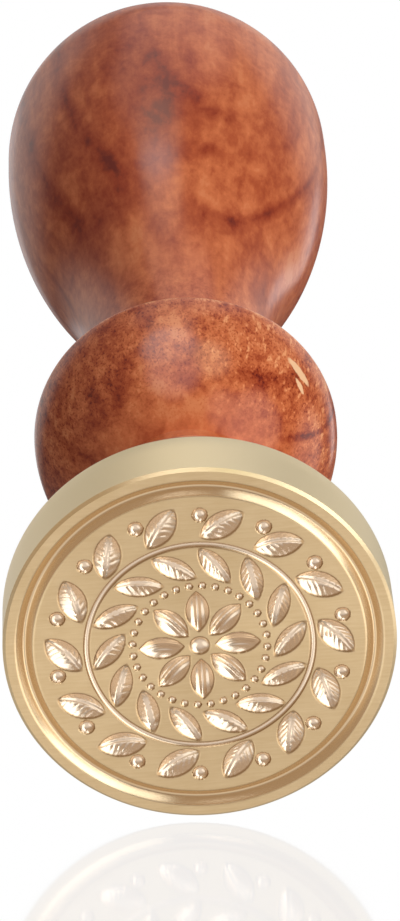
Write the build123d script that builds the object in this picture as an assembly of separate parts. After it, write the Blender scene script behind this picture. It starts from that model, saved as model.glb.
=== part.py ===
"""Wax seal stamp: an engraved brass head that screws onto a turned wooden handle.

Millimetres, +Z up. The stamp stands on its engraved face, so the origin is the
centre of that face and the handle rises along +Z.
"""

from math import acos, degrees, pi, radians, sin, sqrt, tan
import os

from build123d import *

# Head: a round die with a hub behind it
FACE_DIAMETER = 25.0
DISC_THICKNESS = 4.9
FACE_CHAMFER = 0.2
BACK_ROUND = 0.4
HUB_DIAMETER = 13.6
HUB_HEIGHT = 10.1
HUB_FILLET = 1.6
HUB_CHAMFER = 0.4

# Engraved border: a plain rim, then a V-shaped ring groove with a narrow floor
RIM_WIDTH = 0.8
GROOVE_WIDTH = 1.15
GROOVE_FLOOR = 0.15
GROOVE_DEPTH = 0.5
FIELD_BORDER = 0.8

# Engraved wreath: two rows of leaves on a ring-shaped stem, with berries outside
STEM_WIDTH = 0.35
STEM_DEPTH = 0.18
STEM_GAP = 0.35
LEAF_LENGTH = 3.3
OUTER_LEAF_WIDTH = 1.8
INNER_LEAF_WIDTH = 1.45
LEAF_DEPTH = 0.7
LEAF_ANGLE = 42.0
LEAF_SPACING = 2.5
BERRY_DIAMETER = 1.0
BERRY_DEPTH = 0.4
BERRY_SHIFT = 0.36

# Engraved middle: a rosette of petals around an eye
ROSETTE_DIAMETER = 7.8
PETAL_COUNT = 8
PETAL_WIDTH = 1.55
PETAL_DEPTH = 0.7
EYE_DIAMETER = 1.3
EYE_DEPTH = 0.35
EYE_BORDER = 0.3

# Stud: a machine thread for the head, a wood thread for the handle
THREAD_DIAMETER = 7.0
THREAD_LENGTH = 8.0
THREAD_CHAMFER = 0.6
SHANK_DIAMETER = 6.0
SHANK_LENGTH = 18.0
SHANK_TIP = 3.0
SHANK_TIP_DIAMETER = 2.0
SHOULDER_DROP = 0.3

# Fits
RADIAL_CLEARANCE = 0.05
SEAT_GAP = 0.05
BORE_END_ROOM = 1.5
BORE_COUNTERSINK = 0.4
DRILL_POINT_ANGLE = 118.0

# Handle: foot, cove, collar bead, waist and pear-shaped knob
TOTAL_LENGTH = 90.5
FOOT_HEIGHT = 1.4
FOOT_ROUND = 0.35
NECK_DIAMETER = 10.8
BEAD_DIAMETER = 20.72
BEAD_HEIGHT = 30.2
BEAD_DOME_RADIUS = 12.5
BEAD_EDGE = 0.9
WAIST_DIAMETER = 12.0
WAIST_HEIGHT = 39.0
KNOB_DIAMETER = 24.24
KNOB_BAND = 2.0

# Places that several pieces share
hub_top = DISC_THICKNESS + HUB_HEIGHT
bore_bottom = hub_top - THREAD_LENGTH - BORE_END_ROOM
foot_bottom = hub_top + SEAT_GAP
groove_radius = FACE_DIAMETER / 2 - RIM_WIDTH - GROOVE_WIDTH / 2
field_radius = groove_radius - GROOVE_WIDTH / 2 - FIELD_BORDER
leaf_reach = LEAF_LENGTH * sin(radians(LEAF_ANGLE))
stem_radius = field_radius - leaf_reach - STEM_GAP


def spun(angle, radius):
    """Place at a radius on the face, turned so that local X points outwards."""
    return Rot(0, 0, angle) * Pos(radius, 0, 0)


def leaf_cutter(length, width, depth):
    """Keel-shaped tool, pointed at both ends: what two spheres have in common."""
    keel_radius = ((length / 2) ** 2 + depth ** 2) / (2 * depth)
    drop = keel_radius - depth
    offset = ((length / 2) ** 2 - (width / 2) ** 2) / width
    ball = Sphere(sqrt(keel_radius ** 2 + offset ** 2))
    return (Pos(0, offset, -drop) * ball) & (Pos(0, -offset, -drop) * ball)


def dimple_cutter(diameter, depth):
    """Ball that leaves a round dimple of this diameter and depth."""
    ball_radius = ((diameter / 2) ** 2 + depth ** 2) / (2 * depth)
    return Pos(0, 0, depth - ball_radius) * Sphere(ball_radius)


def ring_cutter(radius, width, depth):
    """Ring that leaves a round-bottomed groove of this width and depth."""
    section_radius = ((width / 2) ** 2 + depth ** 2) / (2 * depth)
    return Pos(0, 0, depth - section_radius) * Torus(radius, section_radius)


def vee_ring_cutter(radius, width, floor, depth):
    """Ring that leaves a V-shaped groove, open downwards, with a flat floor."""
    inside, outside = radius - width / 2, radius + width / 2
    with BuildPart() as ring:
        with BuildSketch(Plane.XZ):
            with BuildLine():
                Polyline((inside, -depth), (inside, 0), (radius - floor / 2, depth),
                         (radius + floor / 2, depth), (outside, 0), (outside, -depth), close=True)
            make_face()
        revolve(axis=Axis.Z)
    return ring.part


def wreath_cutters():
    """Leaves on both sides of the stem, all leaning the same way, and berries."""
    inner_radius = stem_radius - STEM_GAP - leaf_reach / 2
    outer_radius = stem_radius + STEM_GAP + leaf_reach / 2
    outer_leaf = leaf_cutter(LEAF_LENGTH, OUTER_LEAF_WIDTH, LEAF_DEPTH)
    inner_leaf = leaf_cutter(LEAF_LENGTH, INNER_LEAF_WIDTH, LEAF_DEPTH)
    berry = dimple_cutter(BERRY_DIAMETER, BERRY_DEPTH)
    berry_radius = field_radius - BERRY_DIAMETER / 2
    count = int(2 * pi * inner_radius / LEAF_SPACING)
    pitch = 360 / count
    cutters = [ring_cutter(stem_radius, STEM_WIDTH, STEM_DEPTH)]
    for step in range(count):
        angle = step * pitch
        cutters.append(spun(angle, outer_radius) * Rot(0, 0, 90 - LEAF_ANGLE) * outer_leaf)
        cutters.append(spun(angle, inner_radius) * Rot(0, 0, 90 + LEAF_ANGLE) * inner_leaf)
        cutters.append(spun(angle - BERRY_SHIFT * pitch, berry_radius) * berry)
    return cutters


def rosette_cutters():
    """Petals around an eye."""
    petal_start = EYE_DIAMETER / 2 + EYE_BORDER
    petal_length = ROSETTE_DIAMETER / 2 - petal_start
    petal = leaf_cutter(petal_length, PETAL_WIDTH, PETAL_DEPTH)
    cutters = [dimple_cutter(EYE_DIAMETER, EYE_DEPTH)]
    for step in range(PETAL_COUNT):
        cutters.append(spun(step * 360 / PETAL_COUNT, petal_start + petal_length / 2) * petal)
    return cutters


def stamp_head():
    """Brass die: engraved disc, filleted hub and a blind drilled bore."""
    face_radius = FACE_DIAMETER / 2
    hub_radius = HUB_DIAMETER / 2
    bore_radius = THREAD_DIAMETER / 2 + RADIAL_CLEARANCE
    point_height = bore_radius / tan(radians(DRILL_POINT_ANGLE / 2))
    fillet_start = (hub_radius + HUB_FILLET, DISC_THICKNESS)
    fillet_end = (hub_radius, DISC_THICKNESS + HUB_FILLET)
    with BuildPart() as head:
        with BuildSketch(Plane.XZ):
            with BuildLine():
                Polyline((0, bore_bottom - point_height), (0, 0), (face_radius - FACE_CHAMFER, 0),
                         (face_radius, FACE_CHAMFER), (face_radius, DISC_THICKNESS - BACK_ROUND))
                CenterArc((face_radius - BACK_ROUND, DISC_THICKNESS - BACK_ROUND), BACK_ROUND, 0, 90)
                Line((face_radius - BACK_ROUND, DISC_THICKNESS), fillet_start)
                CenterArc((hub_radius + HUB_FILLET, DISC_THICKNESS + HUB_FILLET), HUB_FILLET, 270, -90)
                Polyline(fillet_end, (hub_radius, hub_top - HUB_CHAMFER),
                         (hub_radius - HUB_CHAMFER, hub_top), (bore_radius + BORE_COUNTERSINK, hub_top),
                         (bore_radius, hub_top - BORE_COUNTERSINK), (bore_radius, bore_bottom),
                         (0, bore_bottom - point_height))
            make_face()
        revolve(axis=Axis.Z)
    border = vee_ring_cutter(groove_radius, GROOVE_WIDTH, GROOVE_FLOOR, GROOVE_DEPTH)
    return head.part - [border, *wreath_cutters(), *rosette_cutters()]


def threaded_stud():
    """Steel stud: the threaded end in the head, the wood end up in the handle."""
    thread_radius = THREAD_DIAMETER / 2
    shank_radius = SHANK_DIAMETER / 2
    thread_start = hub_top - THREAD_LENGTH
    shoulder = hub_top - SHOULDER_DROP
    shank_end = hub_top + SHANK_LENGTH
    with BuildPart() as stud:
        with BuildSketch(Plane.XZ):
            with BuildLine():
                Polyline((0, thread_start), (thread_radius - THREAD_CHAMFER, thread_start),
                         (thread_radius, thread_start + THREAD_CHAMFER), (thread_radius, shoulder),
                         (shank_radius, shoulder), (shank_radius, shank_end - SHANK_TIP),
                         (SHANK_TIP_DIAMETER / 2, shank_end), (0, shank_end), close=True)
            make_face()
        revolve(axis=Axis.Z)
    return stud.part


def wooden_handle():
    """Turned handle, bored from below for the stud. Its outline is lines and tangent arcs."""
    foot_radius = HUB_DIAMETER / 2
    foot_top = foot_bottom + FOOT_HEIGHT
    neck_radius = NECK_DIAMETER / 2
    bead_radius = BEAD_DIAMETER / 2
    bead_shelf = bead_radius - BEAD_EDGE
    bead_top = BEAD_HEIGHT + BEAD_EDGE
    dome_centre = bead_radius - BEAD_DOME_RADIUS
    dome_angle = degrees(acos((neck_radius - dome_centre) / BEAD_DOME_RADIUS))
    neck_height = BEAD_HEIGHT - BEAD_DOME_RADIUS * sin(radians(dome_angle))
    waist_radius = WAIST_DIAMETER / 2
    knob_radius = KNOB_DIAMETER / 2
    crown_start = TOTAL_LENGTH - knob_radius
    knob_height = crown_start - KNOB_BAND
    taper_middle = ((waist_radius + knob_radius) / 2, (WAIST_HEIGHT + knob_height) / 2)
    bore_radius = SHANK_DIAMETER / 2 + RADIAL_CLEARANCE
    bore_top = hub_top + SHANK_LENGTH + BORE_END_ROOM
    with BuildPart() as handle:
        with BuildSketch(Plane.XZ):
            with BuildLine():
                Polyline((0, TOTAL_LENGTH), (0, bore_top), (bore_radius, bore_top),
                         (bore_radius, foot_bottom + BORE_COUNTERSINK),
                         (bore_radius + BORE_COUNTERSINK, foot_bottom), (foot_radius - FOOT_ROUND, foot_bottom))
                CenterArc((foot_radius - FOOT_ROUND, foot_bottom + FOOT_ROUND), FOOT_ROUND, 270, 90)
                Line((foot_radius, foot_bottom + FOOT_ROUND), (foot_radius, foot_top))
                TangentArc((neck_radius, neck_height), (foot_radius, foot_top), tangent=(0, -1))
                CenterArc((dome_centre, BEAD_HEIGHT), BEAD_DOME_RADIUS, -dome_angle, dome_angle)
                CenterArc((bead_shelf, BEAD_HEIGHT), BEAD_EDGE, 0, 90)
                TangentArc((waist_radius, WAIST_HEIGHT), (bead_shelf, bead_top), tangent=(0, -1))
                TangentArc((waist_radius, WAIST_HEIGHT), taper_middle, tangent=(0, 1))
                TangentArc((knob_radius, knob_height), taper_middle, tangent=(0, -1))
                Line((knob_radius, knob_height), (knob_radius, crown_start))
                CenterArc((0, crown_start), knob_radius, 0, 90)
            make_face()
        revolve(axis=Axis.Z)
    return handle.part


os.makedirs("parts", exist_ok=True)
for name, shape in (("stamp_head", stamp_head()), ("threaded_stud", threaded_stud()),
                    ("wooden_handle", wooden_handle())):
    export_step(shape, f"parts/{name}.step")
    print(name, "volume", round(shape.volume, 1), "mm3")
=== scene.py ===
# %% [markdown]
# # A wax seal stamp, from lathe to engraving bench
#
# The stamp has three pieces: an engraved brass head, a steel stud and a turned
# wooden handle. The CAD model of the three is loaded first as a fixed frame, and
# every piece made here is built around it, in metres, in the same place.

# %% Load the frame
from math import acos, atan2, cos, degrees, pi, radians, sin, tan

import bpy
import numpy as np
from mathutils import Matrix, Vector


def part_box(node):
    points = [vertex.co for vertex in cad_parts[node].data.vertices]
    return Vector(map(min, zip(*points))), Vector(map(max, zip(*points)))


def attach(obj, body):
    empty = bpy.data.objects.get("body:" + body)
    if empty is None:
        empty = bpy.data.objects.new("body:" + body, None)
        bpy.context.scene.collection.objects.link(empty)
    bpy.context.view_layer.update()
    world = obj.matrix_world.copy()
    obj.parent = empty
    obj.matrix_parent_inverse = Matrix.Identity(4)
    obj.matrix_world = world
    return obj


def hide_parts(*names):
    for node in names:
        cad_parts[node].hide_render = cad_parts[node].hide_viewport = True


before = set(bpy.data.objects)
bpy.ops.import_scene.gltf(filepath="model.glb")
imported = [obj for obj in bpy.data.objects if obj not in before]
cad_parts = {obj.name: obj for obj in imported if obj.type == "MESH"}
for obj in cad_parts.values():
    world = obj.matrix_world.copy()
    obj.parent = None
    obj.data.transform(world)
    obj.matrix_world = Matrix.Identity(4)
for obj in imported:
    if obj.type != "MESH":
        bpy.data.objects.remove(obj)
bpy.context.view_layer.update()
MM = 0.001

# %% [markdown]
# ## The camera
#
# The photograph looks up at the engraved face with a long lens, nearly along the
# handle. The face's centre is the origin, so four numbers place the camera: how far
# the line of sight leans from the handle, how far the picture is rolled, how far away
# the face is, and how far it lies below the picture's middle. A camera could track an
# empty instead, but then the roll would need a constraint of its own.

# %% Camera
SIGHT_TILT = radians(26.33)
SIGHT_ROLL = radians(4.18)
FACE_DISTANCE = 334.6 * MM
FACE_DROP = 11.72 * MM
LENS_MM = 206.6
NEAREST_SEEN = 10 * MM

sight = Vector((0, sin(SIGHT_TILT), cos(SIGHT_TILT)))
picture_right = Vector((cos(SIGHT_ROLL), cos(SIGHT_TILT) * sin(SIGHT_ROLL),
                        -sin(SIGHT_TILT) * sin(SIGHT_ROLL)))
picture_up = picture_right.cross(sight)


def stand_at(place, right, up, back):
    """World matrix of a camera or lamp at a place, with these directions as its axes."""
    turn = Matrix((right, up, back)).transposed()
    return Matrix.Translation(place) @ turn.to_4x4()


scene = bpy.context.scene
camera_data = bpy.data.cameras.new("camera")
camera_data.lens = LENS_MM
camera_data.clip_start = NEAREST_SEEN
camera = bpy.data.objects.new("camera", camera_data)
camera_place = picture_up * FACE_DROP - sight * FACE_DISTANCE
camera.matrix_world = stand_at(camera_place, picture_right, picture_up, -sight)
scene.collection.objects.link(camera)
scene.camera = camera
scene.view_settings.view_transform = "Standard"
print("camera at", [round(x, 4) for x in camera_place])

# %% [markdown]
# ## Small helpers for meshes
#
# All three pieces are round, so they are built as rings of points about the Z axis.
# One helper turns a whole outline of (radius, height) points. Where a thread winds
# round the axis, a ring has a radius for each of its points. Curves with a Screw
# modifier would do the same, but plain points keep the rings where they are needed.

# %% Mesh helpers
def add_piece(name, vertices, faces, sharp_angle=pi):
    """A smooth-shaded mesh object, with edges steeper than the angle left sharp."""
    mesh = bpy.data.meshes.new(name)
    mesh.from_pydata(vertices, [], faces)
    mesh.validate()
    mesh.shade_smooth()
    mesh.set_sharp_from_angle(angle=sharp_angle)
    piece = bpy.data.objects.new(name, mesh)
    scene.collection.objects.link(piece)
    print(name, "has", len(mesh.vertices), "vertices and", len(mesh.polygons), "faces")
    return piece


def scaled(points):
    """Points in millimetres as metres."""
    return [tuple(c * MM for c in point) for point in points]


def ring_points(radii, height, count):
    """Evenly spaced points of a ring, with one radius for all or one for each."""
    angles = np.arange(count) * 2 * pi / count
    return [(r * cos(a), r * sin(a), height) for r, a in zip(np.broadcast_to(radii, count), angles)]


def turned(outline, segments):
    """Vertices and faces of an outline that starts and ends on the axis."""
    rings = [point for ring in outline[1:-1] for point in ring_points(*ring, segments)]
    vertices = [(0, 0, outline[0][1])] + rings + [(0, 0, outline[-1][1])]
    last_ring = 1 + (len(outline) - 3) * segments
    faces = []
    for i in range(segments):
        j = (i + 1) % segments
        faces.append((0, 1 + j, 1 + i))
        faces.append((len(vertices) - 1, last_ring + i, last_ring + j))
        for ring in range(1, last_ring, segments):
            faces.append((ring + i, ring + j, ring + segments + j, ring + segments + i))
    return vertices, faces


print("a turned cone of 8 segments has", len(turned([(0, 0), (1, 0), (0, 1)], 8)[1]), "faces")

# %% [markdown]
# Outlines are made of straight runs and arcs. Besides a plain arc, a turning often
# has one that leaves a waist or a belly straight up: its start and end are known, and
# its radius follows from them.

# %% Arcs
def arc(centre, radius, start, end, steps):
    """Points of a circular arc, both ends included, angles in degrees."""
    angles = np.radians(np.linspace(start, end, steps + 1))
    return [(centre[0] + radius * cos(a), centre[1] + radius * sin(a)) for a in angles]


def arc_from_upright(start, end, steps):
    """Arc from a start where the outline runs straight up or down, to an end point."""
    across = end[0] - start[0]
    along = end[1] - start[1]
    radius = (across ** 2 + along ** 2) / (2 * across)
    sweep = atan2(along, radius - across) if radius > 0 else atan2(along, across - radius)
    return [(start[0] + radius * (1 - cos(a)), start[1] + abs(radius) * sin(a))
            for a in np.linspace(0, sweep, steps + 1)]


print("an arc that leaves (1, 0) upright ends at", arc_from_upright((1, 0), (2, 1), steps=4)[-1])

# %% [markdown]
# ## The handle
#
# The handle is one turning: a foot that sits on the brass hub, a small cove, a
# round collar bead with a crisp upper edge, a waist, and a pear-shaped knob. The
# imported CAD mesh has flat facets, so it is turned again here with many more
# segments, from the same sizes.

# %% Handle sizes
FOOT_BOTTOM = 15.05
FOOT_RADIUS = 6.8
FOOT_ROUND = 0.35
FOOT_TOP = 16.45
NECK_RADIUS = 5.4
BEAD_RADIUS = 10.36
BEAD_HEIGHT = 30.2
BEAD_DOME_RADIUS = 12.5
BEAD_EDGE = 0.9
WAIST_RADIUS = 6.0
WAIST_HEIGHT = 39.0
KNOB_RADIUS = 12.12
KNOB_BAND = 2.0
HANDLE_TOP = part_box("wooden_handle")[1].z / MM
SHANK_BORE = 3.05
SHANK_BORE_TOP = 34.5
COUNTERSINK = 0.4

foot_centre = (FOOT_RADIUS - FOOT_ROUND, FOOT_BOTTOM + FOOT_ROUND)
dome_centre = BEAD_RADIUS - BEAD_DOME_RADIUS
dome_angle = acos((NECK_RADIUS - dome_centre) / BEAD_DOME_RADIUS)
dome_start = -degrees(dome_angle)
neck_height = BEAD_HEIGHT - BEAD_DOME_RADIUS * sin(dome_angle)
bead_shelf = (BEAD_RADIUS - BEAD_EDGE, BEAD_HEIGHT + BEAD_EDGE)
crown_start = HANDLE_TOP - KNOB_RADIUS
knob_height = crown_start - KNOB_BAND
taper_middle = ((WAIST_RADIUS + KNOB_RADIUS) / 2, (WAIST_HEIGHT + knob_height) / 2)
print("neck at", round(neck_height, 2), "mm, knob widest at", round(knob_height, 2), "mm")

# %% [markdown]
# The outline runs from the top of the shank's bore down to the foot and then up the
# outside to the crown. An arc that is known from its upper end is listed backwards,
# and a point that two arcs share is listed once.

# %% Handle outline
handle_outline = [(0, SHANK_BORE_TOP), (SHANK_BORE, SHANK_BORE_TOP)]
handle_outline += [(SHANK_BORE, FOOT_BOTTOM + COUNTERSINK), (SHANK_BORE + COUNTERSINK, FOOT_BOTTOM)]
handle_outline += arc(foot_centre, FOOT_ROUND, 270, 360, steps=6)
handle_outline += arc_from_upright((NECK_RADIUS, neck_height), (FOOT_RADIUS, FOOT_TOP), steps=14)[::-1]
handle_outline += arc((dome_centre, BEAD_HEIGHT), BEAD_DOME_RADIUS, dome_start, 0, steps=48)[1:]
handle_outline += arc((bead_shelf[0], BEAD_HEIGHT), BEAD_EDGE, 0, 90, steps=10)[1:]
handle_outline += arc_from_upright((WAIST_RADIUS, WAIST_HEIGHT), bead_shelf, steps=20)[-2::-1]
handle_outline += arc_from_upright((WAIST_RADIUS, WAIST_HEIGHT), taper_middle, steps=28)[1:]
handle_outline += arc_from_upright((KNOB_RADIUS, knob_height), taper_middle, steps=28)[-2::-1]
handle_outline += arc((0, crown_start), KNOB_RADIUS, 0, 90, steps=40)
print("handle outline has", len(handle_outline), "points")

# %% Turn the handle
HANDLE_SEGMENTS = 192
WOOD_SHARP_ANGLE = radians(30)
handle_vertices, handle_faces = turned(handle_outline, HANDLE_SEGMENTS)
handle = add_piece("handle_turning", scaled(handle_vertices), handle_faces, WOOD_SHARP_ANGLE)
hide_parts("wooden_handle")
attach(handle, "handle")

# %% [markdown]
# ## The engraved face
#
# The die is cut below a flat face, so that the design stands up in the wax. A
# displacement texture would blur its edges, so every vertex of the face gets its
# depth from a formula for each tool cut: keel-shaped cuts for leaves and petals,
# ball cuts for berries and pearls, and ring grooves. Depths are in millimetres.

# %% Tool cuts
def keel_cut(along, across, length, width, depth):
    """Depth of a cut that is pointed at both ends and V-shaped across its middle."""
    keel = ((length / 2) ** 2 + depth ** 2) / (2 * depth)
    offset = ((length / 2) ** 2 - (width / 2) ** 2) / width
    ball = keel ** 2 + offset ** 2
    rise = ball - along ** 2 - (np.abs(across) + offset) ** 2
    return np.sqrt(np.maximum(rise, 0)) - (keel - depth)


def ball_cut(away, diameter, depth):
    """Depth of a round dimple, at a distance from its centre."""
    ball = ((diameter / 2) ** 2 + depth ** 2) / (2 * depth)
    beyond = np.maximum(np.abs(away) - ball, 0)
    return np.sqrt(np.maximum(ball ** 2 - away ** 2, 0)) - beyond + depth - ball


def spun(x, y, angle, radius):
    """Outward and sideways distances from a place at this angle and radius."""
    outward = x * cos(angle) + y * sin(angle) - radius
    sideways = y * cos(angle) - x * sin(angle)
    return outward, sideways


print("a keel cut meant to be 0.5 mm deep is", round(keel_cut(0, 0, 3, 1, 0.5), 3), "mm deep")

# %% [markdown]
# A leaf pocket gets a raised midrib and slanting side veins, which print as fine
# grooves in the wax. A petal gets two long creases. Both fade out at the pocket's
# edge, where the cut runs up to the flat face.

# %% Leaf and petal
LEAF_LENGTH = 3.3
LEAF_DEPTH = 0.7
OUTER_LEAF_WIDTH = 1.8
INNER_LEAF_WIDTH = 1.45
PETAL_WIDTH = 1.55
PETAL_DEPTH = 0.7
MIDRIB_WIDTH = 0.11
MIDRIB_HEIGHT = 0.16
VEIN_SPACING = 0.42
VEIN_HEIGHT = 0.055
VEIN_SLANT = 0.9
CREASE_OFFSET = 0.24
CREASE_WIDTH = 0.09
CREASE_HEIGHT = 0.07
POCKET_FADE = 0.25


def leaf_cut(along, across, width):
    """Depth of a leaf pocket, less its midrib and veins."""
    cut = keel_cut(along, across, LEAF_LENGTH, width, LEAF_DEPTH)
    inside = np.clip(cut / POCKET_FADE, 0, 1)
    midrib = MIDRIB_HEIGHT * np.exp(-(across / MIDRIB_WIDTH) ** 2)
    wave = np.cos(2 * pi * (along - VEIN_SLANT * np.abs(across)) / VEIN_SPACING)
    veins = VEIN_HEIGHT * np.maximum(wave, 0) ** 2
    return cut - inside * np.maximum(midrib, veins)


def petal_cut(along, across, length):
    """Depth of a petal pocket, less its two creases."""
    cut = keel_cut(along, across, length, PETAL_WIDTH, PETAL_DEPTH)
    inside = np.clip(cut / POCKET_FADE, 0, 1)
    creases = CREASE_HEIGHT * np.exp(-((np.abs(across) - CREASE_OFFSET) / CREASE_WIDTH) ** 2)
    return cut - inside * creases


print("a leaf is", round(leaf_cut(0, 0, OUTER_LEAF_WIDTH), 3), "mm deep on its midrib")

# %% [markdown]
# The design is a wreath: a ring-shaped stem with a leaf on either side at each step,
# berries outside, and a rosette with a ring of pearls in the middle. Where cuts meet,
# the deepest one counts, and a small rounding breaks the edge to the flat face.

# %% Places of the design
FACE_RADIUS = 12.5
RIM_WIDTH = 0.8
GROOVE_WIDTH = 1.15
FIELD_BORDER = 0.8
LEAF_ANGLE = radians(42)
STEM_GAP = 0.35

groove_inside = FACE_RADIUS - RIM_WIDTH - GROOVE_WIDTH
leaf_limit = groove_inside - FIELD_BORDER
leaf_reach = LEAF_LENGTH * sin(LEAF_ANGLE)
stem_radius = leaf_limit - leaf_reach - STEM_GAP
outer_row = stem_radius + STEM_GAP + leaf_reach / 2
inner_row = stem_radius - STEM_GAP - leaf_reach / 2
print("stem at", round(stem_radius, 2), "rows at", round(inner_row, 2), "and", round(outer_row, 2), "mm")

# %% The whole design
LEAF_PAIRS = 14
STEM_WIDTH = 0.35
STEM_DEPTH = 0.18
BERRY_DIAMETER = 1.0
BERRY_DEPTH = 0.4
BERRY_SHIFT = 0.36
PETALS = 8
ROSETTE_RADIUS = 3.9
PETAL_START = 0.95
EYE_DIAMETER = 1.3
EYE_DEPTH = 0.35
PEARLS = 32
PEARL_DIAMETER = 0.5
PEARL_DEPTH = 0.2
PEARL_RADIUS = 4.27
EDGE_ROUNDING = 0.03


def design_depth(x, y):
    """Depth of the engraving at points of the face."""
    cuts = [ball_cut(np.hypot(x, y) - stem_radius, STEM_WIDTH, STEM_DEPTH),
            ball_cut(np.hypot(x, y), EYE_DIAMETER, EYE_DEPTH)]
    for step in range(LEAF_PAIRS):
        angle = step * 2 * pi / LEAF_PAIRS
        for row, lean, width in ((outer_row, LEAF_ANGLE, OUTER_LEAF_WIDTH),
                                 (inner_row, -LEAF_ANGLE, INNER_LEAF_WIDTH)):
            outward, sideways = spun(x, y, angle, row)
            along = outward * sin(lean) + sideways * cos(lean)
            across = outward * cos(lean) - sideways * sin(lean)
            cuts.append(leaf_cut(along, across, width))
        shift = angle - BERRY_SHIFT * 2 * pi / LEAF_PAIRS
        outward, sideways = spun(x, y, shift, leaf_limit - BERRY_DIAMETER / 2)
        cuts.append(ball_cut(np.hypot(outward, sideways), BERRY_DIAMETER, BERRY_DEPTH))
    petal_length = ROSETTE_RADIUS - PETAL_START
    for step in range(PETALS):
        outward, sideways = spun(x, y, step * 2 * pi / PETALS, (ROSETTE_RADIUS + PETAL_START) / 2)
        cuts.append(petal_cut(outward, sideways, petal_length))
    for step in range(PEARLS):
        outward, sideways = spun(x, y, (step + 0.5) * 2 * pi / PEARLS, PEARL_RADIUS)
        cuts.append(ball_cut(np.hypot(outward, sideways), PEARL_DIAMETER, PEARL_DEPTH))
    deepest = np.max(cuts, axis=0)
    return (deepest + np.sqrt(deepest ** 2 + EDGE_ROUNDING ** 2)) / 2


print("the rosette's eye is", round(design_depth(0.0, 0.0), 3), "mm deep")

# %% [markdown]
# The field's mesh grows in rings from the centre: ring k has six times k vertices,
# so triangles stay the same size from the middle to the border. A square grid
# would leave a ragged edge where it meets the round groove.

# %% Field of the face
FIELD_RINGS = 136
SPOKES = 6
BORDER_FADE = 0.1
GROOVE_LIP = 0.06


def field_mesh(radius):
    """Vertices and faces of the engraved field, facing down, and its outer ring."""
    places = [(0.0, 0.0)]
    faces = []
    first = [0]
    for k in range(1, FIELD_RINGS + 1):
        first.append(len(places))
        places += [point[:2] for point in ring_points(radius * k / FIELD_RINGS, 0, SPOKES * k)]
        inner_count = max(SPOKES * (k - 1), 1)
        for spoke in range(SPOKES):
            for i in range(k):
                a = first[k - 1] + (spoke * (k - 1) + i) % inner_count
                b = first[k] + spoke * k + i
                c = first[k] + (spoke * k + i + 1) % (SPOKES * k)
                faces.append((a, c, b))
                if i < k - 1:
                    faces.append((a, first[k - 1] + (spoke * (k - 1) + i + 1) % inner_count, c))
    places = np.array(places)
    border = radius - np.hypot(places[:, 0], places[:, 1])
    depths = design_depth(places[:, 0], places[:, 1]) * np.clip(border / BORDER_FADE, 0, 1)
    vertices = [(x, y, z) for (x, y), z in zip(places, depths)]
    return vertices, faces, list(range(first[-1], len(places)))


head_vertices, head_faces, open_ring = field_mesh(groove_inside - GROOVE_LIP)
deepest_cut = max(z for _, _, z in head_vertices)
print("field has", len(head_vertices), "vertices, deepest", round(deepest_cut, 3), "mm")

# %% [markdown]
# From the field outwards the head is plain turning again: ring groove, flat rim,
# a small bright chamfer, the side wall, the hub, and the threaded bore. The groove is
# a V with a narrow floor. Its corners are rounded by a smooth minimum and maximum,
# so that they catch a soft line of light.

# %% Ring groove
GROOVE_FLOOR = 0.15
GROOVE_DEPTH = 0.5
GROOVE_SOFTNESS = 0.04
GROOVE_STEPS = 22


def groove_outline():
    """The groove's points from the field to the rim."""
    middle = groove_inside + GROOVE_WIDTH / 2
    slope = GROOVE_DEPTH / (GROOVE_WIDTH / 2 - GROOVE_FLOOR / 2)
    outside = groove_inside + GROOVE_WIDTH
    radii = np.linspace(groove_inside - GROOVE_LIP, outside + GROOVE_LIP, GROOVE_STEPS + 1)[1:]
    wall = slope * (GROOVE_WIDTH / 2 - np.abs(radii - middle))
    cut = (wall + GROOVE_DEPTH - np.hypot(wall - GROOVE_DEPTH, GROOVE_SOFTNESS)) / 2
    cut = (cut + np.hypot(cut, GROOVE_SOFTNESS)) / 2
    cut[-1] = 0
    return list(zip(radii, cut))


print("groove is", round(max(z for _, z in groove_outline()), 3), "mm deep")

# %% Outline of the disc and the hub
DISC_THICKNESS = 4.9
FACE_CHAMFER = 0.2
WALL_RINGS = (1.5, 3.2)
BACK_ROUND = 0.4
HUB_RADIUS = 6.8
HUB_TOP = 15.0
HUB_FILLET = 1.6
HUB_CHAMFER = 0.4
BORE_RADIUS = 3.55

back_turn = (FACE_RADIUS - BACK_ROUND, DISC_THICKNESS - BACK_ROUND)
fillet_centre = (HUB_RADIUS + HUB_FILLET, DISC_THICKNESS + HUB_FILLET)

disc_outline = groove_outline()
disc_outline += [(groove_inside + GROOVE_WIDTH + 2 * GROOVE_LIP, 0), (FACE_RADIUS - FACE_CHAMFER, 0)]
disc_outline += [(FACE_RADIUS, height) for height in (FACE_CHAMFER, *WALL_RINGS)]
disc_outline += arc(back_turn, BACK_ROUND, 0, 90, steps=5)
hub_outline = arc(fillet_centre, HUB_FILLET, 270, 180, steps=8)
hub_outline += [(HUB_RADIUS, HUB_TOP - HUB_CHAMFER), (HUB_RADIUS - HUB_CHAMFER, HUB_TOP)]
hub_outline += [(BORE_RADIUS + COUNTERSINK, HUB_TOP), (BORE_RADIUS, HUB_TOP - COUNTERSINK)]
print("disc has", len(disc_outline), "rings, hub", len(hub_outline))

# %% [markdown]
# The rings are added one after another to the open edge of the field. The engraving
# needs far more vertices in a ring than the hub does, so on the flat back of the disc
# six fine edges meet one edge of the coarser hub.

# %% Rings of the head
EDGES_TO_ONE = 6


def add_ring(vertices, faces, ring, radii, height, share=1):
    """Joins a new ring to an open one, with one new edge to a share of the old edges."""
    count = len(ring) // share
    new_ring = list(range(len(vertices), len(vertices) + count))
    vertices += ring_points(radii, height, count)
    for i in range(count):
        old_edges = [ring[(i * share + k) % len(ring)] for k in range(share + 1)]
        faces.append((*old_edges, new_ring[(i + 1) % count], new_ring[i]))
    return new_ring


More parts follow.
